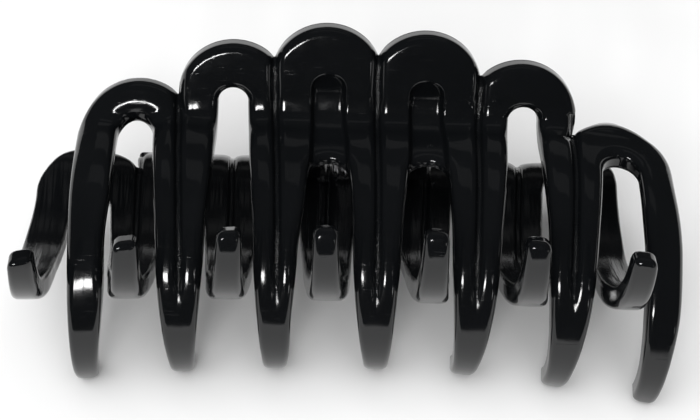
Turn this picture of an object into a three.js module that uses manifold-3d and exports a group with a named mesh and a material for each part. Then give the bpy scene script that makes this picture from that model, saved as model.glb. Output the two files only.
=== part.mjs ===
// Large "octopus" claw clip, closed and lying on its back: two identical curved jaws that turn on a
// steel pin, with a torsion spring between them. Millimetres, +X along the clip, +Y towards the
// finger handles, +Z up from the surface it lies on. The teeth point to -Y.
//
// Each jaw is worked out flat, as a plate in x (along the clip) and s (length down the jaw from the
// top of the handle to the tooth tips), and is then bent to the jaw's side profile.
import * as THREE from "three";
import { mergeVertices } from "three/addons/utils/BufferGeometryUtils.js";
import Module from "manifold-3d";

const wasm = await Module();
wasm.setup();

// ---- Driving dimensions (mm, degrees) ----

// Seven teeth, evenly spread about the middle one, which stands a quarter pitch off the clip's centre
// so that the teeth of the two jaws pass between each other.
const JAW_OFFSET = 3.65;
const TOOTH_SPREAD = [-43.3, -29.4, -14.9, 0, 14.9, 29.4, 43.3];
const TIP_LEAN = [-0.6, 0.3, 0, 0.7, -0.7, -0.9, -1.1]; // sideways lean of each tooth at its tip

// Handle crown: six round arches whose tops follow one curve centred on the hinge.
const ARCH_RADIUS = 8.6;
const END_ARCH_RADIUS = 8.9;
const ARCH_LEAN = -0.55;
const LAST_ARCH_SHIFT = 0.4;
const CROWN_DROP = 0.0084;
const CROWN_DROP_4 = 0.2;

// Openings of the hoops.
const HOOP_BAND = [5.9, 7, 7, 7, 7, 7]; // from the top of each arch to its opening
const WEB_END = 22.8;
const RECESS_TOP = 7.6;
const RECESS_WIDTH = 4.9;
const PANEL_ARCHES = [2, 3];

// Plate and edges.
const PLATE = 3.8;
const TIP_PLATE = 2.9;
const WEB = 2.0;
const EDGE_RADIUS = 1.25;
const EDGE_STEPS = 1;
const SNAP = 0.2;
const GROOVE_WIDTH = 1.7;
const GROOVE_DEPTH = 1.1;
const GROOVE_END = 46;

// Side profile of a jaw: straight flared handle, neck at the hinge, belly, then the curled tooth.
const FLARE_ANGLE = 55.5;
const FLARE_LENGTH = 11.85;
const FLARE_TOP = { n: 19.7, d: 1.2 };
const NECK_RADIUS = 5;
const BELLY_START = -16;
const BELLY_RADIUS = 18.6;
const BELLY_END = 35;
const SHANK_RADIUS = 32;
const SHANK_END = 59;
const CURL_RADIUS = 11.5;
const TIP_S = 64.2;
const TIP_ROUND = 1.5;
const OUTER_CURL_EASE = 0.0184; // how much less the outer teeth curl, per squared pitch from the centre
const OUTER_REACH = 0.31; // how much longer their shanks are, mm per squared pitch
const END_REACH = 0.85; // what the last tooth's shank has more, and the first's less, at x = 47 mm
const PITCH = 14.9;
const END_TUCK = 3.6; // how far the ends of the jaw sit in from the middle, at x = TUCK_END
const TUCK_POWER = 2.6;
const TUCK_START = 22.7;
const TUCK_END = 48;
const TUCK_FADE = [22, 50]; // lengths between which the tuck fades out towards the tips

// Hinge.
const HINGE_D = 12;
const PIN_RADIUS = 1.2;
const PIN_LENGTH = 24.8;
const BORE_RADIUS = 1.42;
const LUG_RADIUS = 3.2;
const LUG_WIDTH = 3.2;
const LUG_CENTRES = [-6.6, 10.2];
const LUG_ROOT_HALF = 3.4;
const LUG_ROOT_REACH = 7;

// Torsion spring.
const WIRE_RADIUS = 0.55;
const COIL_RADIUS = 2.6;
const COIL_PITCH = 1.24;
const COIL_TURNS = 5;
const LEG_ANGLE = 65;
const LEG_LENGTH = 13;

const rad = THREE.MathUtils.degToRad;
const toothX = TOOTH_SPREAD.map((x) => x + JAW_OFFSET);

// ---- Solids ----

function toSolid(geometry) {
  const g = geometry.clone();
  g.deleteAttribute("normal");
  g.deleteAttribute("uv");
  const merged = mergeVertices(g, 1e-4);
  return new wasm.Manifold(
    new wasm.Mesh({
      numProp: 3,
      vertProperties: new Float32Array(merged.attributes.position.array),
      triVerts: new Uint32Array(merged.index.array),
    }),
  );
}

function toGeometry(solid) {
  const mesh = solid.getMesh();
  return new THREE.BufferGeometry()
    .setAttribute("position", new THREE.BufferAttribute(mesh.vertProperties, 3))
    .setIndex(new THREE.BufferAttribute(mesh.triVerts, 1));
}

// ---- The jaw's side profile ----

// Point and direction of the profile at length s for the slice at x. n is the distance out from the
// clip's middle plane, d the distance down from the top of the tallest arch, and angle the direction
// of travel: 0 runs straight down, positive turns inward.
function profileAt(s, x) {
  const outer = (x / PITCH) ** 2;
  const reach = OUTER_REACH * outer + END_REACH * (x / 47) ** 3;
  const stretches = [
    { end: FLARE_ANGLE, length: FLARE_LENGTH },
    { end: BELLY_START, radius: NECK_RADIUS },
    { end: BELLY_END, radius: BELLY_RADIUS },
    { end: SHANK_END, radius: SHANK_RADIUS + reach / rad(SHANK_END - BELLY_END) },
    { end: 180, radius: CURL_RADIUS / (1 - OUTER_CURL_EASE * outer) },
  ];
  let { n, d } = FLARE_TOP;
  let angle = rad(FLARE_ANGLE);
  let left = s;
  for (const { end, radius, length } of stretches) {
    const turn = rad(end) - angle;
    const whole = length ?? radius * Math.abs(turn);
    const step = Math.min(left, whole);
    const mid = angle + (turn * step) / whole / 2;
    const half = (turn * step) / whole / 2;
    const chord = Math.abs(half) < 1e-9 ? step : (step * Math.sin(half)) / half;
    n -= chord * Math.sin(mid);
    d += chord * Math.cos(mid);
    angle += 2 * half;
    left -= step;
    if (left <= 0) break;
  }
  const fade = THREE.MathUtils.clamp((TUCK_FADE[1] - s) / (TUCK_FADE[1] - TUCK_FADE[0]), 0, 1);
  const tuck = Math.max(0, Math.abs(x) - TUCK_START) / (TUCK_END - TUCK_START);
  n -= END_TUCK * tuck ** TUCK_POWER * fade;
  return { n, d, angle };
}

// Lengths at which the flat jaw has an edge right across, so that it bends there.
const BEND_LEVELS = bendLevels();

function bendLevels() {
  const neck = FLARE_LENGTH;
  const belly = neck + NECK_RADIUS * rad(FLARE_ANGLE - BELLY_START);
  const shank = belly + BELLY_RADIUS * rad(BELLY_END - BELLY_START);
  const curl = shank + SHANK_RADIUS * rad(SHANK_END - BELLY_END);
  const levels = [];
  const spread = (from, to, parts) => {
    for (let i = 0; i < parts; i++) levels.push(from + ((to - from) * i) / parts);
  };
  spread(neck, belly, 4);
  spread(belly, shank, 4);
  spread(shank, curl, 1);
  spread(curl, TIP_S, 5);
  return levels;
}

// Cuts every triangle of a flat jaw along the bend levels.
function sliceAtLevels(geometry) {
  const { position } = geometry.attributes;
  const index = geometry.index.array;
  const corners = [];
  for (let i = 0; i < index.length; i += 3) {
    let pieces = [[0, 1, 2].map((c) => new THREE.Vector3().fromBufferAttribute(position, index[i + c]))];
    for (const level of BEND_LEVELS) pieces = pieces.flatMap((p) => splitPolygon(p, -level));
    for (const p of pieces) {
      for (let c = 1; c + 1 < p.length; c++) corners.push(p[0], p[c], p[c + 1]);
    }
  }
  return new THREE.BufferGeometry().setFromPoints(corners);
}

function splitPolygon(polygon, y) {
  const side = polygon.map((p) => (Math.abs(p.y - y) < 1e-5 ? 0 : Math.sign(p.y - y)));
  if (!side.includes(1) || !side.includes(-1)) return [polygon];
  const above = [];
  const below = [];
  polygon.forEach((p, i) => {
    const q = polygon[(i + 1) % polygon.length];
    if (side[i] >= 0) above.push(p);
    if (side[i] <= 0) below.push(p);
    if (side[i] * side[(i + 1) % polygon.length] < 0) {
      const [low, high] = p.y < q.y ? [p, q] : [q, p];
      const cut = low.clone().lerp(high, (y - low.y) / (high.y - low.y));
      above.push(cut);
      below.push(cut);
    }
  });
  return [above, below];
}

function bend(geometry) {
  const { position } = geometry.attributes;
  for (let i = 0; i < position.count; i++) {
    const x = position.getX(i);
    const s = -position.getY(i);
    const taper = THREE.MathUtils.smoothstep(s, 42, TIP_S);
    const t = position.getZ(i) * THREE.MathUtils.lerp(1, TIP_PLATE / PLATE, taper);
    const { n, d, angle } = profileAt(s, x);
    position.setXYZ(i, x, HINGE_D - d - t * Math.sin(angle), n + t * Math.cos(angle));
  }
  return geometry;
}

// ---- The flat jaw ----

// Half widths of a tooth along its length: a shared tooth carries the legs of two hoops side by side.
const SHARED_HALF = new THREE.SplineCurve(
  [[6, 5.2], [16, 4.9], [24, 4.5], [33, 3.75], [40, 3.5], [45, 3.1], [50, 2.6], [56, 2.0], [64, 1.7]].map(
    ([s, half]) => new THREE.Vector2(s, half),
  ),
);
const END_HALF = new THREE.SplineCurve(
  [[16, 3.15], [24, 2.95], [33, 2.65], [40, 2.7], [46, 2.6], [51, 2.3], [56, 2.0], [64, 1.7]].map(
    ([s, half]) => new THREE.Vector2(s, half),
  ),
);

// The half width at s, from a curve that holds (s, half width) pairs in rising order of s.
function halfWidth(curve, s) {
  let [low, high] = [0, 1];
  for (let i = 0; i < 24; i++) {
    const mid = (low + high) / 2;
    if (curve.getPoint(mid).x < s) low = mid;
    else high = mid;
  }
  return curve.getPoint(low).y;
}

const crownTop = (x) => CROWN_DROP * x ** 2 + CROWN_DROP_4 * (x / 30) ** 4;
const isEnd = (tooth) => tooth === 0 || tooth === toothX.length - 1;
const toothCentre = (tooth, s) =>
  toothX[tooth] + TIP_LEAN[tooth] * THREE.MathUtils.smoothstep(s, 42, TIP_S);
const toothHalf = (tooth, s) => halfWidth(isEnd(tooth) ? END_HALF : SHARED_HALF, s);

function archOf(hoop) {
  const lastHoop = toothX.length - 2;
  const radius = hoop === 0 || hoop === lastHoop ? END_ARCH_RADIUS : ARCH_RADIUS;
  const slotX = (toothX[hoop] + toothX[hoop + 1]) / 2;
  const x = slotX + ARCH_LEAN + (hoop === lastHoop ? LAST_ARCH_SHIFT : 0);
  return { slotX, x, radius, top: crownTop(x), centre: crownTop(x) + radius };
}

// Where the outlines of two neighbouring arches meet.
function notchBetween(a, b) {
  const gap = Math.hypot(b.x - a.x, b.centre - a.centre);
  const along = (gap ** 2 + a.radius ** 2 - b.radius ** 2) / (2 * gap);
  const rise = Math.sqrt(a.radius ** 2 - along ** 2);
  const [dx, ds] = [(b.x - a.x) / gap, (b.centre - a.centre) / gap];
  return { x: a.x + dx * along + ds * rise, s: a.centre + ds * along - dx * rise };
}

// Points down a straight edge, one on each bend level between two lengths.
const edgeStations = (from, to) => BEND_LEVELS.filter((s) => s > from + 0.5 && s < to - 0.5);

// Rounded outline of one hoop's top between two meeting points, as an arc of the arch circle.
function addArch(points, arch, start, end) {
  const angleOf = (p) => Math.atan2(arch.centre - p.s, p.x - arch.x);
  const [from, to] = [angleOf(start), angleOf(end)];
  const steps = 8;
  for (let i = 0; i < steps; i++) {
    const a = from + ((to - from) * i) / steps;
    points.push([arch.x + arch.radius * Math.cos(a), arch.centre - arch.radius * Math.sin(a)]);
  }
}

// Round end of a tooth, from its right edge to its left edge.
function addTip(points, tooth) {
  const x = toothCentre(tooth, TIP_S);
  const half = toothHalf(tooth, TIP_S - TIP_ROUND);
  const steps = 4;
  for (let i = 0; i <= steps; i++) {
    const a = (Math.PI * i) / steps;
    points.push([x + half * Math.cos(a), TIP_S - TIP_ROUND * (1 - Math.sin(a))]);
  }
}

function jawOutline() {
  const arches = toothX.slice(1).map((_, hoop) => archOf(hoop));
  const last = toothX.length - 1;
  const points = [];
  // Left edge upward from the first tip.
  for (const s of edgeStations(arches[0].centre, TIP_S - TIP_ROUND).reverse()) {
    const half = toothHalf(0, s);
    const blend = THREE.MathUtils.smoothstep(s, arches[0].centre, 36);
    points.push([THREE.MathUtils.lerp(arches[0].x - arches[0].radius, toothCentre(0, s) - half, blend), s]);
  }
  // Crown.
  let from = { x: arches[0].x - arches[0].radius, s: arches[0].centre };
  arches.forEach((arch, hoop) => {
    const to =
      hoop < arches.length - 1
        ? notchBetween(arch, arches[hoop + 1])
        : { x: arch.x + arch.radius, s: arch.centre };
    addArch(points, arch, from, to);
    from = to;
  });
  // Right edge downward to the last tip.
  points.push([from.x, from.s]);
  for (const s of edgeStations(from.s, TIP_S - TIP_ROUND)) {
    const half = toothHalf(last, s);
    const blend = THREE.MathUtils.smoothstep(s, from.s, 36);
    points.push([THREE.MathUtils.lerp(from.x, toothCentre(last, s) + half, blend), s]);
  }
  // Teeth and the slots between them, from right to left.
  for (let tooth = last; tooth >= 0; tooth--) {
    addTip(points, tooth);
    if (tooth > 0) addSlot(points, arches[tooth - 1], tooth);
  }
  return points.map(([x, s]) => new THREE.Vector2(x, -s));
}

// The slot to the left of a tooth: up the tooth's left edge, round the top, down its neighbour.
function addSlot(points, arch, tooth) {
  const start = PANEL_ARCHES.includes(tooth - 1) ? WEB_END : arch.top + HOOP_BAND[tooth - 1];
  const right = (s) => toothCentre(tooth, s) - toothHalf(tooth, s);
  const left = (s) => toothCentre(tooth - 1, s) + toothHalf(tooth - 1, s);
  const radius = (right(start + 3) - left(start + 3)) / 2;
  const base = start + radius;
  const middle = (right(base) + left(base)) / 2;
  const stations = edgeStations(base, TIP_S - TIP_ROUND);
  for (const s of stations.toReversed()) points.push([right(s), s]);
  const steps = 6;
  for (let i = 0; i <= steps; i++) {
    const a = (Math.PI * i) / steps;
    points.push([middle + radius * Math.cos(a), base - radius * Math.sin(a)]);
  }
  for (const s of stations) points.push([left(s), s]);
}

function flatPlate() {
  const geometry = new THREE.ExtrudeGeometry(new THREE.Shape(jawOutline()), {
    depth: PLATE - 2 * EDGE_RADIUS,
    bevelThickness: EDGE_RADIUS,
    bevelSize: EDGE_RADIUS,
    bevelOffset: -EDGE_RADIUS,
    bevelSegments: EDGE_STEPS,
  });
  return toSolid(snapToLevels(geometry.translate(0, 0, -PLATE / 2 + EDGE_RADIUS)));
}

// Moves each vertex that lies just off a bend level onto it, so that no sliver is cut there.
function snapToLevels(geometry) {
  const { position } = geometry.attributes;
  for (let i = 0; i < position.count; i++) {
    const near = BEND_LEVELS.find((level) => Math.abs(position.getY(i) + level) < SNAP);
    if (near !== undefined) position.setY(i, -near);
  }
  return geometry;
}

// Sunken panel of a middle hoop, open at the bottom into the slot.
function recessCutter(arch) {
  const half = RECESS_WIDTH / 2;
  const top = -(arch.top + RECESS_TOP);
  const shape = new THREE.Shape();
  shape.moveTo(arch.slotX - half, -WEB_END - 4);
  shape.lineTo(arch.slotX + half, -WEB_END - 4);
  shape.lineTo(arch.slotX + half, top - half);
  shape.absarc(arch.slotX + ARCH_LEAN / 2, top - half, half, 0, Math.PI, false);
  shape.lineTo(arch.slotX - half, top - half);
  const settings = { depth: PLATE, bevelEnabled: false, curveSegments: 8 };
  const geometry = new THREE.ExtrudeGeometry(shape, settings);
  return toSolid(geometry.translate(0, 0, WEB - PLATE / 2));
}

// V groove between the two legs of a shared tooth, from the crown notch down the shank.
function grooveCutter(tooth) {
  const top = notchBetween(archOf(tooth - 1), archOf(tooth));
  const section = new THREE.Shape([
    new THREE.Vector2(-GROOVE_WIDTH, PLATE / 2 + GROOVE_DEPTH),
    new THREE.Vector2(0, PLATE / 2 - GROOVE_DEPTH),
    new THREE.Vector2(GROOVE_WIDTH, PLATE / 2 + GROOVE_DEPTH),
  ]);
  const from = new THREE.Vector3(top.x, -(top.s - 2), 0);
  const to = new THREE.Vector3(toothX[tooth], -GROOVE_END, 0);
  const geometry = new THREE.ExtrudeGeometry(section, { depth: from.distanceTo(to), bevelEnabled: false });
  // The section's y becomes the plate's thickness and its depth runs down the tooth.
  const down = to.clone().sub(from).normalize();
  const out = new THREE.Vector3(0, 0, 1);
  const across = new THREE.Vector3().crossVectors(out, down);
  geometry.applyMatrix4(new THREE.Matrix4().makeBasis(across, out, down).setPosition(from));
  return toSolid(geometry);
}

// ---- The whole jaw ----

function lug(x) {
  const shape = new THREE.Shape();
  shape.absarc(0, 0, LUG_RADIUS, Math.PI, 2 * Math.PI, false);
  shape.lineTo(LUG_ROOT_HALF, LUG_ROOT_REACH - 1.2);
  shape.lineTo(LUG_ROOT_HALF - 1.2, LUG_ROOT_REACH);
  shape.lineTo(-LUG_ROOT_HALF + 1.2, LUG_ROOT_REACH);
  shape.lineTo(-LUG_ROOT_HALF, LUG_ROOT_REACH - 1.2);
  const geometry = new THREE.ExtrudeGeometry(shape, {
    depth: LUG_WIDTH,
    bevelEnabled: false,
    curveSegments: 10,
  });
  geometry.translate(0, 0, -LUG_WIDTH / 2);
  // Shape x to part Y, shape y to part Z, depth to part X.
  geometry.applyMatrix4(new THREE.Matrix4().makeBasis(axisY, axisZ, axisX).setPosition(x, 0, 0));
  return toSolid(geometry);
}

const axisX = new THREE.Vector3(1, 0, 0);
const axisY = new THREE.Vector3(0, 1, 0);
const axisZ = new THREE.Vector3(0, 0, 1);

function rodAlongX(radius, length) {
  return new THREE.CylinderGeometry(radius, radius, length, 24).rotateZ(-Math.PI / 2);
}

function jawGeometry() {
  let flat = flatPlate();
  for (const hoop of PANEL_ARCHES) flat = flat.subtract(recessCutter(archOf(hoop)));
  for (let tooth = 1; tooth < toothX.length - 1; tooth++) flat = flat.subtract(grooveCutter(tooth));
  let jaw = toSolid(bend(sliceAtLevels(toGeometry(flat))));
  for (const x of LUG_CENTRES) jaw = jaw.add(lug(x));
  jaw = jaw.subtract(toSolid(rodAlongX(BORE_RADIUS, 2 * PIN_LENGTH)));
  return toGeometry(jaw);
}

// ---- Pin and spring ----

function pinGeometry() {
  const chamfer = 0.3;
  const half = PIN_LENGTH / 2;
  const profile = [
    [0, -half],
    [PIN_RADIUS - chamfer, -half],
    [PIN_RADIUS, -half + chamfer],
    [PIN_RADIUS, half - chamfer],
    [PIN_RADIUS - chamfer, half],
    [0, half],
  ].map(([r, h]) => new THREE.Vector2(r, h));
  return new THREE.LatheGeometry(profile, 24).rotateZ(-Math.PI / 2);
}

// Wire centre line: a straight leg, the coil round the pin, and the other leg, the same turned about.
class SpringWire extends THREE.Curve {
  constructor() {
    super();
    this.start = rad(LEG_ANGLE - 90);
    this.sweep = rad(360 * COIL_TURNS) + 2 * this.start;
    this.halfLength = (COIL_PITCH * this.sweep) / (4 * Math.PI);
    this.coilLength = COIL_RADIUS * this.sweep;
    this.total = this.coilLength + 2 * LEG_LENGTH;
  }

  coilPoint(travel) {
    const share = travel / this.coilLength;
    const a = this.start - this.sweep * share;
    return new THREE.Vector3(
      this.halfLength * (1 - 2 * share),
      COIL_RADIUS * Math.cos(a),
      COIL_RADIUS * Math.sin(a),
    );
  }

  getPoint(u, target = new THREE.Vector3()) {
    const travel = u * this.total - LEG_LENGTH;
    const onCoil = THREE.MathUtils.clamp(travel, 0, this.coilLength);
    target.copy(this.coilPoint(onCoil));
    const extra = travel - onCoil;
    const a = this.start - (this.sweep * onCoil) / this.coilLength;
    target.y += extra * Math.sin(a);
    target.z -= extra * Math.cos(a);
    return target;
  }
}

function springGeometry() {
  const section = new THREE.Shape();
  section.absarc(0, 0, WIRE_RADIUS, 0, 2 * Math.PI, false);
  return new THREE.ExtrudeGeometry(section, {
    steps: 84,
    curveSegments: 6,
    extrudePath: new SpringWire(),
    bevelEnabled: false,
  });
}

// ---- Assembly ----

const plastic = { color: 0x0a0c0e, roughness: 0.12, metalness: 0 };
const steel = { color: 0xb9bcc0, roughness: 0.28, metalness: 1 };

function piece(name, geometry, look) {
  const mesh = new THREE.Mesh(geometry, new THREE.MeshStandardMaterial(look));
  mesh.name = name;
  return mesh;
}

const clip = new THREE.Group();
const jaw = jawGeometry();
const lowerJaw = piece("lower_jaw", jaw, plastic);
lowerJaw.rotation.y = Math.PI;
clip.add(
  piece("upper_jaw", jaw, plastic),
  lowerJaw,
  piece("hinge_pin", pinGeometry(), steel),
  piece("torsion_spring", springGeometry(), steel),
);

// The origin is the middle of the underside of the whole clip's box.
const box = new THREE.Box3().setFromObject(clip, true);
const root = new THREE.Group();
clip.position.set(0, -(box.min.y + box.max.y) / 2, -box.min.z);
root.add(clip);

export default root;
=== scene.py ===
import math

import bpy
import numpy as np
from mathutils import Matrix, Vector


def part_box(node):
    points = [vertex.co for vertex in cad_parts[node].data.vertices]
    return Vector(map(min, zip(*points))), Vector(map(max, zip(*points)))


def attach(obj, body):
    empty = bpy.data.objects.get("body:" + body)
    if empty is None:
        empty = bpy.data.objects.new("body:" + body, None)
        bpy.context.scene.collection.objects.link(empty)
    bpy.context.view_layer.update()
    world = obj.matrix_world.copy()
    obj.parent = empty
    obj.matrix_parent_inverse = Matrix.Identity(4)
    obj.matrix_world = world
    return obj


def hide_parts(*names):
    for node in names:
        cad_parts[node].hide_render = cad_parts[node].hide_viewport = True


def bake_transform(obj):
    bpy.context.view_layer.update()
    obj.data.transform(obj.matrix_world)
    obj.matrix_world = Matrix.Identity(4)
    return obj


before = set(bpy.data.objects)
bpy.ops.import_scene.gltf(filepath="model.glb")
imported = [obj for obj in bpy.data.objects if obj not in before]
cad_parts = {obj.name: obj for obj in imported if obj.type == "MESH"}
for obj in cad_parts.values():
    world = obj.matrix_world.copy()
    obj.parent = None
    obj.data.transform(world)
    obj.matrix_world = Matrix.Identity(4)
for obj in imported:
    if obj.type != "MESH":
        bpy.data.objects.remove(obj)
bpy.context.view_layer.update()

MM = 0.001
PIN_LOW, PIN_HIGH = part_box("hinge_pin")
HINGE = tuple((PIN_LOW + PIN_HIGH) / 2 / MM)  # mm, the pin's axis in the part's frame

# ---- The jaw, worked out flat in x (along the clip), s (down the jaw) and t (out of its face) ----
# Lengths are in mm and angles in degrees.

# Teeth: where they stand, how far their tips lean sideways, and where each one ends.
TOOTH_X = np.array([-43.3, -29.4, -14.9, 0.0, 14.9, 29.4, 43.3]) + 3.65
TIP_LEAN = np.array([-0.6, 0.3, 0.0, 0.7, -0.7, -0.9, -0.65])
TIP_S = 64.1
TIP_END = TIP_S + np.array([-0.45, 0.0, -0.1, -0.15, -0.1, -0.05, 0.0])
TIP_HALF, TIP_CORNER = 1.7, 1.15
TIP_THIN = 2.9 / 3.8  # thickness at the tips as a share of the plate's
LEAN_START = 42.0

# Half widths down the legs, as (s, half width): for the teeth two hoops share, and for the end teeth.
SHARED = np.array([
    [6, 5.2], [16, 4.9], [24, 4.5], [33, 3.75], [40, 3.5], [45, 3.1], [50, 2.6], [56, 2.0], [64, 1.7],
])
SINGLE = np.array([
    [16, 3.15], [24, 2.95], [33, 2.65], [40, 2.7], [46, 2.6], [51, 2.3], [56, 2.0], [64, 1.7],
])
WIDTH_SPAN, WIDTH_SAMPLES, WIDTH_BLUR = (-5, 66), 400, 17
# Small departures of single legs from those widths: tooth, side, from s, to s, extra half width.
LEG_TWEAKS = (
    (2, 1, 30, 38, 46, 56, -0.55),
    (6, -1, 8, 20, 30, 40, 0.5),
    (0, 1, 10, 18, 28, 38, 0.6),
)
LEG_SLOPE = 0.99  # cosine of the angle the legs' edges lean at

# Hoops: sideways and upward shifts of their heads, head radii, and widths of the band over each opening.
ARCH_LEAN = np.array([-0.4, 0.1, -0.55, -0.55, -0.45, -0.15])
ARCH_LIFT = np.array([0.1, -0.25, 0.0, 0.0, 0.35, 0.1])
ARCH_R = np.array([9.0, 8.5, 8.6, 8.6, 8.6, 8.9])
HOOP_BAND = np.array([6.1, 7.0, 7.0, 7.0, 7.0, 7.0])
CROWN_DROP, CROWN_DROP_4, CROWN_SCALE = 0.0084, 0.2, 30
BLEND_END = 36.0  # where the end hoops' outer sides have become the end teeth's
SLOT_MEASURED = 3.0  # how far below its top an opening's round end takes its width
FAR = 60

# The two middle hoops have sunken panels instead of full openings.
PANEL_HOOPS = (2, 3)
WEB_END, PANEL_END = 22.8, 28.8
RECESS_TOP, RECESS_HALF, RECESS_DEPTH, RECESS_WALL = 7.2, 2.4, 1.55, 0.75
RECESS_WIDENS, RECESS_WIDEN_SPAN = 0.35, (14, 24)
RECESS_LEAN_SHARE, RECESS_LEAN_SPAN = 0.5, (12, 22)
RECESS_FADE = (-3.4, 1.2)

# Section: half thickness, radii of the rounded edges, and how far a rod's middle stands proud.
HALF_PLATE = 1.9
HEAD_EDGE, OUTER_EDGE, TIP_EDGE, INNER_EDGE = 1.15, 1.45, 0.95, 0.65
HEAD_EDGE_SPAN, TIP_EDGE_SPAN = (9, 17), (38, 49)
CROWNED, TIP_FLATTER, FIRST_CROWNED, INNER_CROWNED, CROWN_REACH = 0.1, 0.05, 0.35, 0.6, 3.0
FIRST_HOOP_X, FIRST_HOOP_S = (-29, -24), (15, 30)

# Grooves between the hoops, on the outer face and fainter on the inner one.
GROOVE_FLOOR, GROOVE_SHOULDER, GROOVE_DEPTH, GROOVE_END = 0.32, 1.15, 1.2, 47.0
GROOVE_ABOVE, GROOVE_FADE, GROOVE_STRAIGHTEN = 4, 9, (-0.05, 0.8)
INNER_GROOVE, INNER_SHOULDER = 0.55, 1.6

# Side profile: n is the height over the middle plane, d the distance down from the top edge.
FLARE_N, FLARE_D, FLARE_ANGLE, FLARE_LENGTH = 19.42, 1.2, 55.5, 10.9
FLARE_R, FLARE_END = 18.0, 47.0
NECK_R, NECK_END, WAIST_R = 3.9, -8.0, 9.0
BELLY_START, BELLY_R, BELLY_END = -16.0, 18.6, 35.0
SHANK_R, SHANK_END, CURL_R, CURL_END = 32.0, 59.0, 11.5, 180.0
PITCH, REACH, END_REACH, END_X, CURL_GAIN = 14.9, 0.31, 0.85, 47, 0.0184
TUCK, TUCK_START, TUCK_SPAN, TUCK_POWER, TUCK_FADE = 3.6, 22.7, 25.3, 2.6, (22.0, 50.0)
HINGE_D = 12.0


def smooth(v, a, b):
    """0 up to a, 1 from b on, and a soft step between them."""
    u = np.clip((v - a) / (b - a), 0.0, 1.0)
    return u * u * (3 - 2 * u)


def dense(table):
    """A smooth curve through a few (s, half width) pairs, sampled finely."""
    s = np.linspace(*WIDTH_SPAN, WIDTH_SAMPLES)
    rough = np.interp(s, table[:, 0], table[:, 1])
    kernel = np.hanning(2 * WIDTH_BLUR + 1)
    kernel /= kernel.sum()
    padded = np.pad(rough, WIDTH_BLUR, mode="edge")
    return s, np.convolve(padded, kernel, mode="valid")


SHARED_CURVE, SINGLE_CURVE = dense(SHARED), dense(SINGLE)


def tooth_half(k, s):
    curve = SINGLE_CURVE if k in (0, 6) else SHARED_CURVE
    return np.interp(s, *curve)


def tooth_centre(k, s):
    return TOOTH_X[k] + TIP_LEAN[k] * smooth(s, LEAN_START, TIP_S)


SLOT_X = (TOOTH_X[:-1] + TOOTH_X[1:]) / 2
ARCH_X = SLOT_X + ARCH_LEAN
ARCH_TOP = CROWN_DROP * ARCH_X**2 + CROWN_DROP_4 * (ARCH_X / CROWN_SCALE) ** 4 - ARCH_LIFT
ARCH_S = ARCH_TOP + ARCH_R


def notch(k):
    """Where the outlines of hoops k - 1 and k meet."""
    ax, as_, ra = ARCH_X[k - 1], ARCH_S[k - 1], ARCH_R[k - 1]
    bx, bs, rb = ARCH_X[k], ARCH_S[k], ARCH_R[k]
    gap = math.hypot(bx - ax, bs - as_)
    along = (gap**2 + ra**2 - rb**2) / (2 * gap)
    rise = math.sqrt(ra**2 - along**2)
    dx, ds = (bx - ax) / gap, (bs - as_) / gap
    return ax + dx * along + ds * rise, as_ + ds * along - dx * rise


NOTCHES = [notch(k) for k in range(1, 6)]


def leg_edge(k, side, s):
    """The x of a tooth's left (-1) or right (1) edge."""
    edge = tooth_centre(k, s) + side * tooth_half(k, s)
    for tooth, where, a, b, c, d, extra in LEG_TWEAKS:
        if (tooth, where) == (k, side):
            edge = edge + side * extra * smooth(s, a, b) * (1 - smooth(s, c, d))
    return edge


def slot_distance(hoop, x, s):
    """Negative inside the opening below a hoop."""
    start = WEB_END if hoop in PANEL_HOOPS else ARCH_TOP[hoop] + HOOP_BAND[hoop]
    left, right = leg_edge(hoop, 1, s), leg_edge(hoop + 1, -1, s)
    s0 = np.array([start + SLOT_MEASURED])
    l0, r0 = leg_edge(hoop, 1, s0)[0], leg_edge(hoop + 1, -1, s0)[0]
    radius = (r0 - l0) / 2
    base = start + radius
    middle = (l0 + r0) / 2
    below = np.maximum(left - x, x - right) * LEG_SLOPE
    above = np.hypot(x - middle, np.minimum(s - base, 0)) - radius
    return np.where(s >= base - 1e-9, below, above)


def outline_distance(x, s):
    """Negative inside the flat jaw."""
    crown = np.full_like(x, 1e3)
    for ax, cs, r in zip(ARCH_X, ARCH_S, ARCH_R):
        crown = np.minimum(crown, np.hypot(x - ax, s - cs) - r)
    left_blend, right_blend = smooth(s, ARCH_S[0], BLEND_END), smooth(s, ARCH_S[5], BLEND_END)
    head, tooth = ARCH_X[0] - ARCH_R[0], tooth_centre(0, s) - tooth_half(0, s)
    left = head + (tooth - head) * left_blend
    head, tooth = ARCH_X[5] + ARCH_R[5], tooth_centre(6, s) + tooth_half(6, s)
    right = head + (tooth - head) * right_blend
    across = np.concatenate([[-FAR], ARCH_X, [FAR]])
    shoulder = np.interp(x, across, np.concatenate([ARCH_S[:1], ARCH_S, ARCH_S[5:]]))
    body = np.maximum(np.maximum(left - x, x - right), shoulder - s)
    shape = np.minimum(crown, body)
    for hoop in range(6):
        shape = np.maximum(shape, -slot_distance(hoop, x, s))
    # The teeth end square, with their corners rounded over.
    nearest = np.argmin(np.abs(x[..., None] - (TOOTH_X + TIP_LEAN)), -1)
    last = TIP_END[nearest]
    u = np.abs(x - (TOOTH_X + TIP_LEAN)[nearest]) - TIP_HALF + TIP_CORNER
    end = np.hypot(np.maximum(u, 0), np.maximum(s - last + TIP_CORNER, 0)) - TIP_CORNER
    end = np.where(u < 0, s - last, end)
    return np.where(s > last - TIP_CORNER, np.maximum(shape, np.maximum(s - last, end)), shape)


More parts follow.
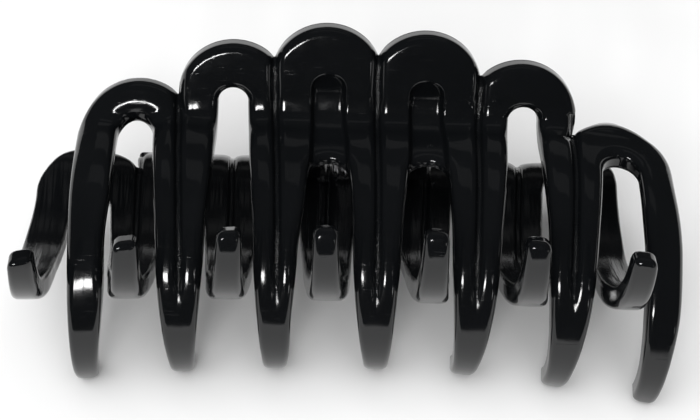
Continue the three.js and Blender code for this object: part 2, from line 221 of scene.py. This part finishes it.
def groove(x, s, shoulder):
    """1 on the floor of a groove between two hoops, falling to 0 over its rounded shoulder."""
    found = np.zeros_like(x)
    for k in range(1, 6):
        nx, ns = NOTCHES[k - 1]
        share = np.clip((s - ns) / (GROOVE_END - ns), 0, 1)
        line = nx + (TOOTH_X[k] - nx) * smooth(share, *GROOVE_STRAIGHTEN)
        u = np.clip((np.abs(x - line) - GROOVE_FLOOR) / shoulder, 0, 1)
        cross = 1 - np.sqrt(np.clip(1 - (1 - u) ** 2, 0, 1))
        cross = np.where(u >= 1, 0, cross)
        fade = 1 - smooth(s, GROOVE_END - GROOVE_FADE, GROOVE_END)
        found = np.maximum(found, np.maximum(cross, 0) * fade * (s > ns - GROOVE_ABOVE))
    return found


def panel(x, s):
    """1 in the sunken panels of the two middle hoops, 0 on the rods round them."""
    found = np.zeros_like(x)
    for hoop in PANEL_HOOPS:
        top = ARCH_TOP[hoop] + RECESS_TOP + RECESS_HALF
        half = RECESS_HALF + RECESS_WIDENS * smooth(s, *RECESS_WIDEN_SPAN)
        lean = RECESS_LEAN_SHARE * ARCH_LEAN[hoop]
        centre = SLOT_X[hoop] + lean * (1 - smooth(s, *RECESS_LEAN_SPAN))
        d = np.where(s < top, np.hypot(x - centre, s - top) - half, np.abs(x - centre) - half)
        side = 1 - smooth(d, -RECESS_WALL / 2, RECESS_WALL / 2)
        found = np.maximum(found, side * smooth(s - top, *RECESS_FADE))
    return found * (s < PANEL_END)


def rounded(a, b, radius):
    """The inside of both a and b, with the edge between them rounded."""
    a, b = a + radius, b + radius
    return np.hypot(np.maximum(a, 0), np.maximum(b, 0)) + np.minimum(np.maximum(a, b), 0) - radius


def field(x, s, t):
    """Negative inside the flat jaw: a rounded plate, sunken panels and grooves."""
    out = outline_distance(x, s)
    toward_tip = smooth(s, *TIP_EDGE_SPAN)
    edge = HEAD_EDGE + (OUTER_EDGE - HEAD_EDGE) * smooth(s, *HEAD_EDGE_SPAN)
    edge = edge + (TIP_EDGE - edge) * toward_tip
    first_hoop = (1 - smooth(x, *FIRST_HOOP_X)) * (1 - smooth(s, *FIRST_HOOP_S))
    rise = CROWNED - TIP_FLATTER * toward_tip + FIRST_CROWNED * first_hoop
    crowned = rise * (1 - smooth(-out, 0.0, CROWN_REACH))
    top = HALF_PLATE - crowned - GROOVE_DEPTH * groove(x, s, GROOVE_SHOULDER) - RECESS_DEPTH * panel(x, s)
    low = HALF_PLATE - crowned * INNER_CROWNED - INNER_GROOVE * groove(x, s, INNER_SHOULDER)
    return np.maximum(rounded(out, t - top, edge), rounded(out, -t - low, INNER_EDGE))


def profile(s, x):
    """Distance out from the middle plane, distance down, and direction of the jaw's side profile."""
    outer = (x / PITCH) ** 2
    reach = REACH * outer + END_REACH * (x / END_X) ** 3
    curl = CURL_R / (1 - CURL_GAIN * outer)
    # A straight flare, then arcs: the direction each ends at, its radius, and the straight's length.
    stretches = (
        (FLARE_ANGLE, None, FLARE_LENGTH),
        (FLARE_END, FLARE_R, None),
        (NECK_END, NECK_R, None),
        (BELLY_START, WAIST_R, None),
        (BELLY_END, BELLY_R, None),
        (SHANK_END, SHANK_R + reach / math.radians(SHANK_END - BELLY_END), None),
        (CURL_END, curl, None),
    )
    n, d = np.full_like(s, FLARE_N), np.full_like(s, FLARE_D)
    angle, at, left = np.full_like(s, math.radians(FLARE_ANGLE)), math.radians(FLARE_ANGLE), s.copy()
    for end, radius, length in stretches:
        turn = math.radians(end) - at
        whole = length if length else radius * abs(turn)
        step = np.minimum(left, whole)
        if not length:
            step = np.maximum(step, 0)  # only the flare runs on above the start
        half = turn * step / whole / 2
        chord = step * np.sinc(half / math.pi)
        n = n - chord * np.sin(angle + half)
        d = d + chord * np.cos(angle + half)
        angle = angle + 2 * half
        left = left - step
        at = math.radians(end)
    # The end hoops tuck in toward the middle plane.
    fade = np.clip((TUCK_FADE[1] - s) / (TUCK_FADE[1] - TUCK_FADE[0]), 0, 1)
    tuck = np.maximum(0, np.abs(x) - TUCK_START) / TUCK_SPAN
    return n - TUCK * tuck**TUCK_POWER * fade, d, angle


def bend(points):
    """Flat (x, s, t) in mm to the upper jaw's place in the part's frame, in mm."""
    x, s, t = points.T
    n, d, angle = profile(s, x)
    t = t * (1 + (TIP_THIN - 1) * smooth(s, LEAN_START, TIP_S))
    y = HINGE_D - d - t * np.sin(angle)
    z = n + t * np.cos(angle)
    return np.stack([x, y + HINGE[1], z + HINGE[2]], -1)


# ---- Turning a field into a mesh ----


def surface_net(values, low, step):
    """Vertices and quads of the zero surface of a field sampled on a grid."""
    inside = values < 0
    cells = tuple(n - 1 for n in values.shape)
    total, count = np.zeros(cells + (3,)), np.zeros(cells)
    corners = [(i, j, k) for i in (0, 1) for j in (0, 1) for k in (0, 1)]

    def at(grid, c):
        return grid[c[0]:c[0] + cells[0], c[1]:c[1] + cells[1], c[2]:c[2] + cells[2]]

    for a in corners:
        for axis in range(3):
            if a[axis]:
                continue
            b = tuple(1 if i == axis else v for i, v in enumerate(a))
            va, vb = at(values, a), at(values, b)
            cross = at(inside, a) != at(inside, b)
            share = np.where(cross, va / np.where(cross, va - vb, 1), 0)
            for i in range(3):
                total[..., i] += cross * (a[i] + (share if i == axis else 0))
            count += cross
    used = count > 0
    ids = np.full(cells, -1)
    ids[used] = np.arange(used.sum())
    where = np.stack(np.nonzero(used), -1)
    verts = low + (where + total[used] / count[used][:, None]) * step
    quads = []
    for axis in range(3):
        u, v = (axis + 1) % 3, (axis + 2) % 3
        span = [slice(1, n) for n in cells]
        span[axis] = slice(0, cells[axis])
        start = inside[tuple(span)]
        ahead = list(span)
        ahead[axis] = slice(1, cells[axis] + 1)
        end = inside[tuple(ahead)]
        base = np.stack(np.nonzero(start != end), -1)
        base[:, u] += 1
        base[:, v] += 1
        flip = end[start != end]
        ring = []
        for du, dv in ((1, 1), (0, 1), (0, 0), (1, 0)):
            c = base.copy()
            c[:, u] -= du
            c[:, v] -= dv
            ring.append(ids[tuple(c.T)])
        ring = np.stack(ring, -1)
        ring[flip] = ring[flip][:, ::-1]
        quads.append(ring)
    return verts, np.concatenate(quads)


def settle(verts, rounds=4, eps=0.02, most=0.12, least_slope=0.05):
    """Moves vertices onto the zero surface of the field."""
    for _ in range(rounds):
        f = field(*verts.T)
        pairs = [(field(*(verts + e).T), field(*(verts - e).T)) for e in np.eye(3) * eps]
        g = np.stack([(ahead - behind) / (2 * eps) for ahead, behind in pairs], -1)
        size = np.maximum((g**2).sum(-1), least_slope)
        move = g * (f / size)[:, None]
        length = np.maximum(np.linalg.norm(move, axis=1), 1e-9)
        verts = verts - move * np.minimum(1, most / length)[:, None]
    return verts


def mesh_object(name, verts, faces):
    """A new object from vertices in mm."""
    mesh = bpy.data.meshes.new(name)
    mesh.from_pydata((verts * MM).tolist(), [], faces.tolist() if hasattr(faces, "tolist") else faces)
    mesh.validate()
    mesh.polygons.foreach_set("use_smooth", np.ones(len(mesh.polygons), bool))
    obj = bpy.data.objects.new(name, mesh)
    bpy.context.scene.collection.objects.link(obj)
    return obj


GRID_STEP, QUICK_STEP = 0.3, 0.5
GRID_LOW, GRID_HIGH = np.array([-44.4, -0.9, -2.35]), np.array([51.0, 65.1, 2.45])


def jaw_points():
    """The flat jaw's vertices and quads."""
    step = GRID_STEP
    axes = [np.arange(a, b, step) for a, b in zip(GRID_LOW, GRID_HIGH)]
    x, s, t = np.meshgrid(*axes, indexing="ij")
    verts, quads = surface_net(field(x, s, t), GRID_LOW, step)
    return settle(verts), quads


def rod(radius, length, edge, around=48, edge_steps=6):
    """A rod along x with rounded ends, as vertices and faces about the origin."""
    turn = np.linspace(0, 2 * math.pi, around, endpoint=False)
    quarter = np.linspace(0, math.pi / 2, edge_steps)
    end = [(-length / 2 + edge * (1 - math.cos(q)), radius - edge * (1 - math.sin(q))) for q in quarter]
    outline = end + [(-a, r) for a, r in end[::-1]]
    verts = [(a, r * math.cos(w), r * math.sin(w)) for a, r in outline for w in turn]
    n = len(outline)
    faces = []
    for i in range(n - 1):
        for j in range(around):
            k = (j + 1) % around
            faces.append([i * around + j, i * around + k, (i + 1) * around + k, (i + 1) * around + j][::-1])
    faces.append(list(range(around)))
    faces.append([(n - 1) * around + j for j in range(around)][::-1])
    return np.array(verts), faces


# ---- Hinge ----

PIN_R, PIN_LENGTH, PIN_EDGE, BORE_R, BORE_EDGE = 1.2, 24.8, 0.35, 1.42, 0.1
LUG_R, LUG_WIDTH, LUG_CENTRES = 3.2, 3.2, (-6.6, 10.2)
LUG_ROOT_HALF, LUG_ROOT_REACH, LUG_CORNER, LUG_EDGE = 3.4, 7.0, 1.2, 0.4
WIRE_R, WIRE_END, COIL_R, COIL_PITCH, COIL_TURNS = 0.55, 0.75, 2.6, 1.24, 5
LEG_ANGLE, LEG_LENGTH = 65, 13


def lug_object(x):
    """One hinge ear of the upper jaw with softened edges, still without its bore."""
    turn = np.linspace(math.pi, 2 * math.pi, 25)
    ring = [(LUG_R * math.cos(a), LUG_R * math.sin(a)) for a in turn]
    half, top, corner = LUG_ROOT_HALF, LUG_ROOT_REACH, LUG_CORNER
    ring += [(half, top - corner), (half - corner, top), (-half + corner, top), (-half, top - corner)]
    quarter = np.linspace(0, math.pi / 2, 4)
    bevel = [(LUG_WIDTH / 2 - LUG_EDGE * (1 - math.sin(q)), LUG_EDGE * (1 - math.cos(q))) for q in quarter]
    levels = sorted([(-along, inset) for along, inset in bevel] + bevel)
    verts, n = [], len(ring)
    for along, inset in levels:
        shrink = 1 - inset / LUG_R
        verts += [(x + along, y * shrink + HINGE[1], z * shrink + HINGE[2]) for y, z in ring]
    faces = []
    for i in range(len(levels) - 1):
        for j in range(n):
            k = (j + 1) % n
            faces.append([i * n + j, i * n + k, (i + 1) * n + k, (i + 1) * n + j])
    faces.append(list(range(n))[::-1])
    faces.append([(len(levels) - 1) * n + j for j in range(n)])
    return mesh_object("lug", np.array(verts), faces)


def face_out(obj):
    """Turns the faces so that the closed mesh encloses a positive volume."""
    mesh = obj.data
    mesh.calc_loop_triangles()
    co = np.array([v.co for v in mesh.vertices], float)
    tri = np.array([list(q.vertices) for q in mesh.loop_triangles])
    a, b, c = co[tri[:, 0]], co[tri[:, 1]], co[tri[:, 2]]
    if np.einsum("ij,ij->i", a, np.cross(b, c)).sum() < 0:
        mesh.flip_normals()
    return obj


def cut(obj, others, operation):
    """Joins the other meshes to obj or takes them away from it, and removes them."""
    for other in others:
        m = obj.modifiers.new("cut", "BOOLEAN")
        m.object, m.operation, m.solver = other, operation, "MANIFOLD"
    graph = bpy.context.evaluated_depsgraph_get()
    made = bpy.data.meshes.new_from_object(obj.evaluated_get(graph))
    obj.modifiers.clear()
    obj.data = made
    for other in others:
        bpy.data.objects.remove(other)


def placed_rod(name, radius, length, edge):
    """A rod on the hinge axis."""
    verts, faces = rod(radius, length, edge)
    return face_out(mesh_object(name, verts + np.array(HINGE), faces))


def finish_mesh(obj, sharp_deg=60):
    """Smooth shading, with the edges over an angle kept sharp."""
    mesh = obj.data
    mesh.polygons.foreach_set("use_smooth", np.ones(len(mesh.polygons), bool))
    mesh.set_sharp_from_angle(angle=math.radians(sharp_deg))


# Where the plastic is grainy: groove floors, a little in the panels, and on the inner face.
GRAIN_GROOVE, GRAIN_PANEL, GRAIN_INNER = 0.7, 0.15, 0.25
OUTER_T, GRAIN_INNER_T, STREAK_T, STREAK_S = (-0.2, 0.6), (-1.6, -0.8), (-1.7, -1.0), (40, 50)


def set_attribute(obj, name, values):
    attribute = obj.data.attributes.new(name, "FLOAT", "POINT")
    attribute.data.foreach_set("value", values.astype(np.float32))


def build_jaws():
    """The upper jaw, and the lower one as the same moulding turned half round on the hinge."""
    flat, quads = jaw_points()
    upper = face_out(mesh_object("jaw_upper", bend(flat), quads))
    x, s, t = flat.T
    face = np.maximum(groove(x, s, GRAIN_GROOVE), GRAIN_PANEL * panel(x, s)) * smooth(t, *OUTER_T)
    set_attribute(upper, "grain", face + GRAIN_INNER * (1 - smooth(t, *GRAIN_INNER_T)))
    set_attribute(upper, "inner", (1 - smooth(t, *STREAK_T)) * (1 - smooth(s, *STREAK_S)))
    cut(upper, [face_out(lug_object(x)) for x in LUG_CENTRES], "UNION")
    cut(upper, [placed_rod("bore", BORE_R, 2 * PIN_LENGTH, BORE_EDGE)], "DIFFERENCE")
    finish_mesh(upper)
    lower = bpy.data.objects.new("jaw_lower", upper.data.copy())
    bpy.context.scene.collection.objects.link(lower)
    pivot = Matrix.Translation(Vector(HINGE) * MM)
    lower.data.transform(pivot @ Matrix.Rotation(math.pi, 4, "Y") @ pivot.inverted())
    return upper, lower


def spring_object(around=16, leg_steps=24, coil_steps=300):
    """The spring's wire swept along its two legs and coil, and half the coil's length."""
    start = math.radians(LEG_ANGLE - 90)
    sweep = math.radians(360 * COIL_TURNS) + 2 * start
    half = COIL_PITCH * sweep / (4 * math.pi)
    coil = COIL_R * sweep
    travel = np.concatenate([
        np.linspace(-LEG_LENGTH, 0, leg_steps, endpoint=False),
        np.linspace(0, coil, coil_steps, endpoint=False),
        np.linspace(coil, coil + LEG_LENGTH, leg_steps + 1),
    ])
    on = np.clip(travel, 0, coil)
    a = start - on / COIL_R
    extra = travel - on
    path = np.stack([
        half * (1 - 2 * on / coil),
        COIL_R * np.cos(a) + extra * np.sin(a),
        COIL_R * np.sin(a) - extra * np.cos(a),
    ], -1)
    ahead = np.gradient(path, axis=0)
    ahead /= np.linalg.norm(ahead, axis=1, keepdims=True)
    side = np.zeros_like(path)
    side[:, 0] = 1
    side -= ahead * (side * ahead).sum(1, keepdims=True)
    side /= np.linalg.norm(side, axis=1, keepdims=True)
    third = np.cross(ahead, side)
    verts = []
    radius = np.full(len(path), WIRE_R)
    radius[[0, -1]] = WIRE_R * WIRE_END
    for i in range(len(path)):
        for w in np.linspace(0, 2 * math.pi, around, endpoint=False):
            verts.append(path[i] + radius[i] * (side[i] * math.cos(w) + third[i] * math.sin(w)))
    faces = []
    for i in range(len(path) - 1):
        for j in range(around):
            k = (j + 1) % around
            faces.append([i * around + j, i * around + k, (i + 1) * around + k, (i + 1) * around + j])
    faces.append(list(range(around))[::-1])
    faces.append([(len(path) - 1) * around + j for j in range(around)])
    obj = mesh_object("spring_wire", np.array(verts) + np.array(HINGE), faces)
    return face_out(obj), half


# ---- Materials ----


MIX_COLOUR_A, MIX_COLOUR_B, MIX_COLOUR_RESULT = 6, 7, 2  # sockets of a Mix node set to RGBA


class Nodes:
    """A material under construction; textures use the object's own coordinates, in metres."""

    def __init__(self, name):
        self.material = bpy.data.materials.new(name)
        self.material.use_nodes = True
        self.tree = self.material.node_tree
        self.shader = self.tree.nodes["Principled BSDF"]
        self.place = self.add("ShaderNodeTexCoord").outputs["Object"]

    def add(self, kind, **values):
        node = self.tree.nodes.new(kind)
        for key, value in values.items():
            if hasattr(node, key):
                setattr(node, key, value)
            else:
                node.inputs[key.replace("_", " ")].default_value = value
        return node

    def link(self, a, b):
        self.tree.links.new(a, b)

    def noise(self, scale, stretch=(1, 1, 1), detail=4.0, rough=0.6):
        mapping = self.add("ShaderNodeMapping")
        mapping.inputs["Scale"].default_value = stretch
        self.link(self.place, mapping.inputs["Vector"])
        node = self.add("ShaderNodeTexNoise", Scale=scale, Detail=detail, Roughness=rough)
        self.link(mapping.outputs["Vector"], node.inputs["Vector"])
        return node.outputs["Fac"]

    def span(self, value, from_low, from_high, to_low, to_high):
        node = self.add("ShaderNodeMapRange")
        ends = {"From Min": from_low, "From Max": from_high, "To Min": to_low, "To Max": to_high}
        for key, number in ends.items():
            node.inputs[key].default_value = number
        self.link(value, node.inputs["Value"])
        return node.outputs["Result"]

    def math(self, operation, a, b):
        node = self.add("ShaderNodeMath", operation=operation)
        for socket, value in zip(node.inputs, (a, b)):
            if isinstance(value, (int, float)):
                socket.default_value = value
            else:
                self.link(value, socket)
        return node.outputs["Value"]

    def bump(self, height, distance, strength=1.0, under=None):
        node = self.add("ShaderNodeBump", Strength=strength, Distance=distance)
        self.link(height, node.inputs["Height"])
        if under is not None:
            self.link(under, node.inputs["Normal"])
        return node.outputs["Normal"]

    def tint(self, value, dark, light):
        node = self.add("ShaderNodeMix", data_type="RGBA")
        self.link(value, node.inputs["Factor"])
        node.inputs[MIX_COLOUR_A].default_value = (*dark, 1)
        node.inputs[MIX_COLOUR_B].default_value = (*light, 1)
        return node.outputs[MIX_COLOUR_RESULT]


SCRATCH_TILT, SCRATCH_STRETCH, SCRATCH_EDGE = (0.3, 0.2), (1, 14, 14), 0.04


def scratches(nodes, angle, scale, keep):
    """Thin straight scratches one way across the piece: 1 on a scratch, 0 off it."""
    turn = nodes.add("ShaderNodeMapping")
    turn.inputs["Rotation"].default_value = (*SCRATCH_TILT, math.radians(angle))
    turn.inputs["Scale"].default_value = SCRATCH_STRETCH
    nodes.link(nodes.place, turn.inputs["Vector"])
    node = nodes.add("ShaderNodeTexNoise", Scale=scale, Detail=1.0, Roughness=0.4)
    nodes.link(turn.outputs["Vector"], node.inputs["Vector"])
    return nodes.span(node.outputs["Fac"], keep, keep + SCRATCH_EDGE, 0, 1)


PLASTIC_IOR = 1.5
PLASTIC_DARK, PLASTIC_LIGHT = (0.0022, 0.0026, 0.0031), (0.0048, 0.0053, 0.0060)


def plastic():
    """Glossy black plastic: faint waviness and peel, scratches, grainy grooves, streaked inner faces."""
    nodes = Nodes("black_gloss_plastic")
    shader = nodes.shader
    shader.inputs["IOR"].default_value = PLASTIC_IOR
    cloud = nodes.noise(90, detail=3)
    nodes.link(nodes.tint(cloud, PLASTIC_DARK, PLASTIC_LIGHT), shader.inputs["Base Color"])
    grain = nodes.add("ShaderNodeAttribute", attribute_name="grain").outputs["Fac"]
    fine = nodes.noise(2600, detail=6, rough=0.7)
    marks = nodes.math("MAXIMUM", scratches(nodes, 20, 260, 0.71), scratches(nodes, -55, 310, 0.72))
    smear = nodes.noise(260, stretch=(1, 3, 1), detail=5)
    rough = nodes.span(smear, 0.3, 0.75, 0.06, 0.13)
    rough = nodes.math("ADD", rough, nodes.math("MULTIPLY", marks, 0.10))
    rough = nodes.math("ADD", rough, nodes.math("MULTIPLY", grain, 0.16))
    nodes.link(rough, shader.inputs["Roughness"])
    wave = nodes.bump(nodes.noise(150, stretch=(1, 0.5, 1), detail=2, rough=0.4), 0.00007)
    peel = nodes.bump(nodes.noise(900, detail=3), 0.0000045, under=wave)
    marked = nodes.bump(marks, 0.000004, strength=0.6, under=peel)
    rough_floor = nodes.bump(nodes.math("MULTIPLY", fine, grain), 0.00009, under=marked)
    # The inner faces keep the marks of a hand-finished mould: streaks that run down the jaw.
    inner = nodes.add("ShaderNodeAttribute", attribute_name="inner").outputs["Fac"]
    streaks = nodes.noise(520, stretch=(1, 0.05, 0.12), detail=3, rough=0.5)
    streaked = nodes.bump(nodes.math("MULTIPLY", streaks, inner), 0.0006, under=rough_floor)
    nodes.link(streaked, shader.inputs["Normal"])
    return nodes.material


def steel(name, dark, light, drawn):
    """Bare steel, with fine lines along or around the piece from drawing the wire."""
    nodes = Nodes(name)
    shader = nodes.shader
    shader.inputs["Metallic"].default_value = 1.0
    lines = nodes.noise(900, stretch=drawn, detail=4)
    stain = nodes.noise(700, detail=5)
    nodes.link(nodes.tint(stain, dark, light), shader.inputs["Base Color"])
    rough = nodes.math("ADD", nodes.span(lines, 0.3, 0.7, 0.18, 0.34), nodes.span(stain, 0.5, 0.8, 0, 0.15))
    nodes.link(rough, shader.inputs["Roughness"])
    nodes.link(nodes.bump(lines, 0.000012), shader.inputs["Normal"])
    return nodes.material


def paint(obj, material):
    obj.data.materials.clear()
    obj.data.materials.append(material)


jaw_upper, jaw_lower = build_jaws()
black = plastic()
paint(jaw_upper, black)
paint(jaw_lower, black)
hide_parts("upper_jaw")
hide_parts("lower_jaw")
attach(jaw_upper, "upper_half")
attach(jaw_lower, "lower_half")

pin = placed_rod("pin_rod", PIN_R, PIN_LENGTH, PIN_EDGE)
finish_mesh(pin, sharp_deg=40)
paint(pin, steel("pin_steel", dark=(0.42, 0.42, 0.43), light=(0.66, 0.66, 0.67), drawn=(0.15, 3, 3)))
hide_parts("hinge_pin")
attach(pin, "lower_half")

spring, coil_half = spring_object()
finish_mesh(spring, sharp_deg=50)
paint(spring, steel("spring_steel", dark=(0.30, 0.30, 0.31), light=(0.55, 0.55, 0.56), drawn=(2, 1, 1)))
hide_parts("torsion_spring")
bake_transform(spring)

# ---- Floor, light and camera ----


FLOOR_HALF = 3.0  # m
FLOOR_DARK, FLOOR_LIGHT, FLOOR_ROUGH, FLOOR_SHINE = (0.79, 0.79, 0.79), (0.82, 0.82, 0.82), 0.8, 0.1


def floor_object():
    corners = [(a * FLOOR_HALF, b * FLOOR_HALF, 0) for a, b in ((-1, -1), (1, -1), (1, 1), (-1, 1))]
    mesh = bpy.data.meshes.new("floor")
    mesh.from_pydata(corners, [], [(0, 1, 2, 3)])
    obj = bpy.data.objects.new("floor", mesh)
    bpy.context.scene.collection.objects.link(obj)
    nodes = Nodes("pale_floor")
    cloud = nodes.noise(9, detail=3)
    nodes.link(nodes.tint(cloud, FLOOR_DARK, FLOOR_LIGHT), nodes.shader.inputs["Base Color"])
    nodes.shader.inputs["Roughness"].default_value = FLOOR_ROUGH
    nodes.shader.inputs["Specular IOR Level"].default_value = FLOOR_SHINE
    paint(obj, nodes.material)


def area_light(name, place, aim, width, height, watts):
    data = bpy.data.lights.new(name, "AREA")
    data.shape, data.size, data.size_y, data.energy = "RECTANGLE", width, height, watts
    obj = bpy.data.objects.new(name, data)
    bpy.context.scene.collection.objects.link(obj)
    obj.location = place
    obj.rotation_mode = "QUATERNION"
    obj.rotation_quaternion = (Vector(aim) - Vector(place)).to_track_quat("-Z", "Y")


CAMERA_TILT, CAMERA_SWING, CAMERA_ROLL, CAMERA_AWAY = 57.578, -3.329, 4.210, 276.53
SENSOR_WIDTH, LENS_PX, WIDTH_PX, SHIFT_PX = 36, 1808.16, 700, (-2.12, 1.43)
AIM_BELOW_TOP = 22.0  # the aim's distance down from the jaws' top edge
CLIP_NEAR, CLIP_FAR = 0.01, 20  # m


def camera_object():
    """The camera above and in front of the clip, turned a little clockwise."""
    tilt, swing, roll = (math.radians(a) for a in (CAMERA_TILT, CAMERA_SWING, CAMERA_ROLL))
    level = Vector((-math.sin(swing), math.cos(swing), 0))
    right = Vector((math.cos(swing), math.sin(swing), 0))
    ahead = level * math.cos(tilt) - Vector((0, 0, math.sin(tilt)))
    up = level * math.sin(tilt) + Vector((0, 0, math.cos(tilt)))
    cam_right = right * math.cos(roll) + up * math.sin(roll)
    cam_up = up * math.cos(roll) - right * math.sin(roll)
    data = bpy.data.cameras.new("camera")
    data.sensor_width = SENSOR_WIDTH
    data.lens = LENS_PX / WIDTH_PX * SENSOR_WIDTH
    data.shift_x, data.shift_y = (shift / WIDTH_PX for shift in SHIFT_PX)
    data.clip_start, data.clip_end = CLIP_NEAR, CLIP_FAR
    obj = bpy.data.objects.new("camera", data)
    bpy.context.scene.collection.objects.link(obj)
    aim = Vector((0, HINGE[1] + HINGE_D - AIM_BELOW_TOP, HINGE[2]))
    place = aim - ahead * CAMERA_AWAY
    turn = Matrix((cam_right, cam_up, -ahead)).transposed().to_4x4()
    obj.matrix_world = Matrix.Translation(place * MM) @ turn
    bpy.context.scene.camera = obj


def glow(name, direction, distance, width, height, radiance):
    """A soft light of a given brightness, seen from the clip in a given direction; lengths in m."""
    place = Vector(direction).normalized() * distance
    area_light(name, place, (0, 0, 0), width, height, radiance * math.pi * width * height)


def sky_light(strength, spread_deg, turn_deg):
    """A broad light from above that leaves no highlight of its own."""
    data = bpy.data.lights.new("sky", "SUN")
    data.energy, data.angle = strength, math.radians(spread_deg)
    obj = bpy.data.objects.new("sky", data)
    bpy.context.scene.collection.objects.link(obj)
    obj.rotation_euler = (math.radians(turn_deg[0]), math.radians(turn_deg[1]), 0)
    obj.visible_glossy = False


def room_light(strength):
    world = bpy.data.worlds.new("room")
    world.use_nodes = True
    world.node_tree.nodes["Background"].inputs["Color"].default_value = (1, 1, 1, 1)
    world.node_tree.nodes["Background"].inputs["Strength"].default_value = strength
    bpy.context.scene.world = world


WINDOW_PANES = (-0.36, -0.25, -0.14)  # how far to the left each pane's direction lies

floor_object()
camera_object()
room_light(0.03)
# A window of three panes low in front, a faint strip overhead, a small lamp at the right and a dim wall.
for i, side in enumerate(WINDOW_PANES):
    glow(f"window_{i}", (side, -0.84, 0.48), distance=1.15, width=0.1, height=0.09, radiance=42)
glow("overhead", (0.05, 0.3, 1.0), distance=1.6, width=1.6, height=0.5, radiance=0.1)
glow("right_lamp", (0.62, -0.75, 0.23), distance=1.2, width=0.08, height=0.08, radiance=7)
glow("back_wall", (0.1, 0.75, 0.6), distance=2.2, width=2.0, height=0.6, radiance=0.12)
sky_light(strength=3.7, spread_deg=70, turn_deg=(8, -12))
bpy.context.scene.view_settings.view_transform = "Standard"
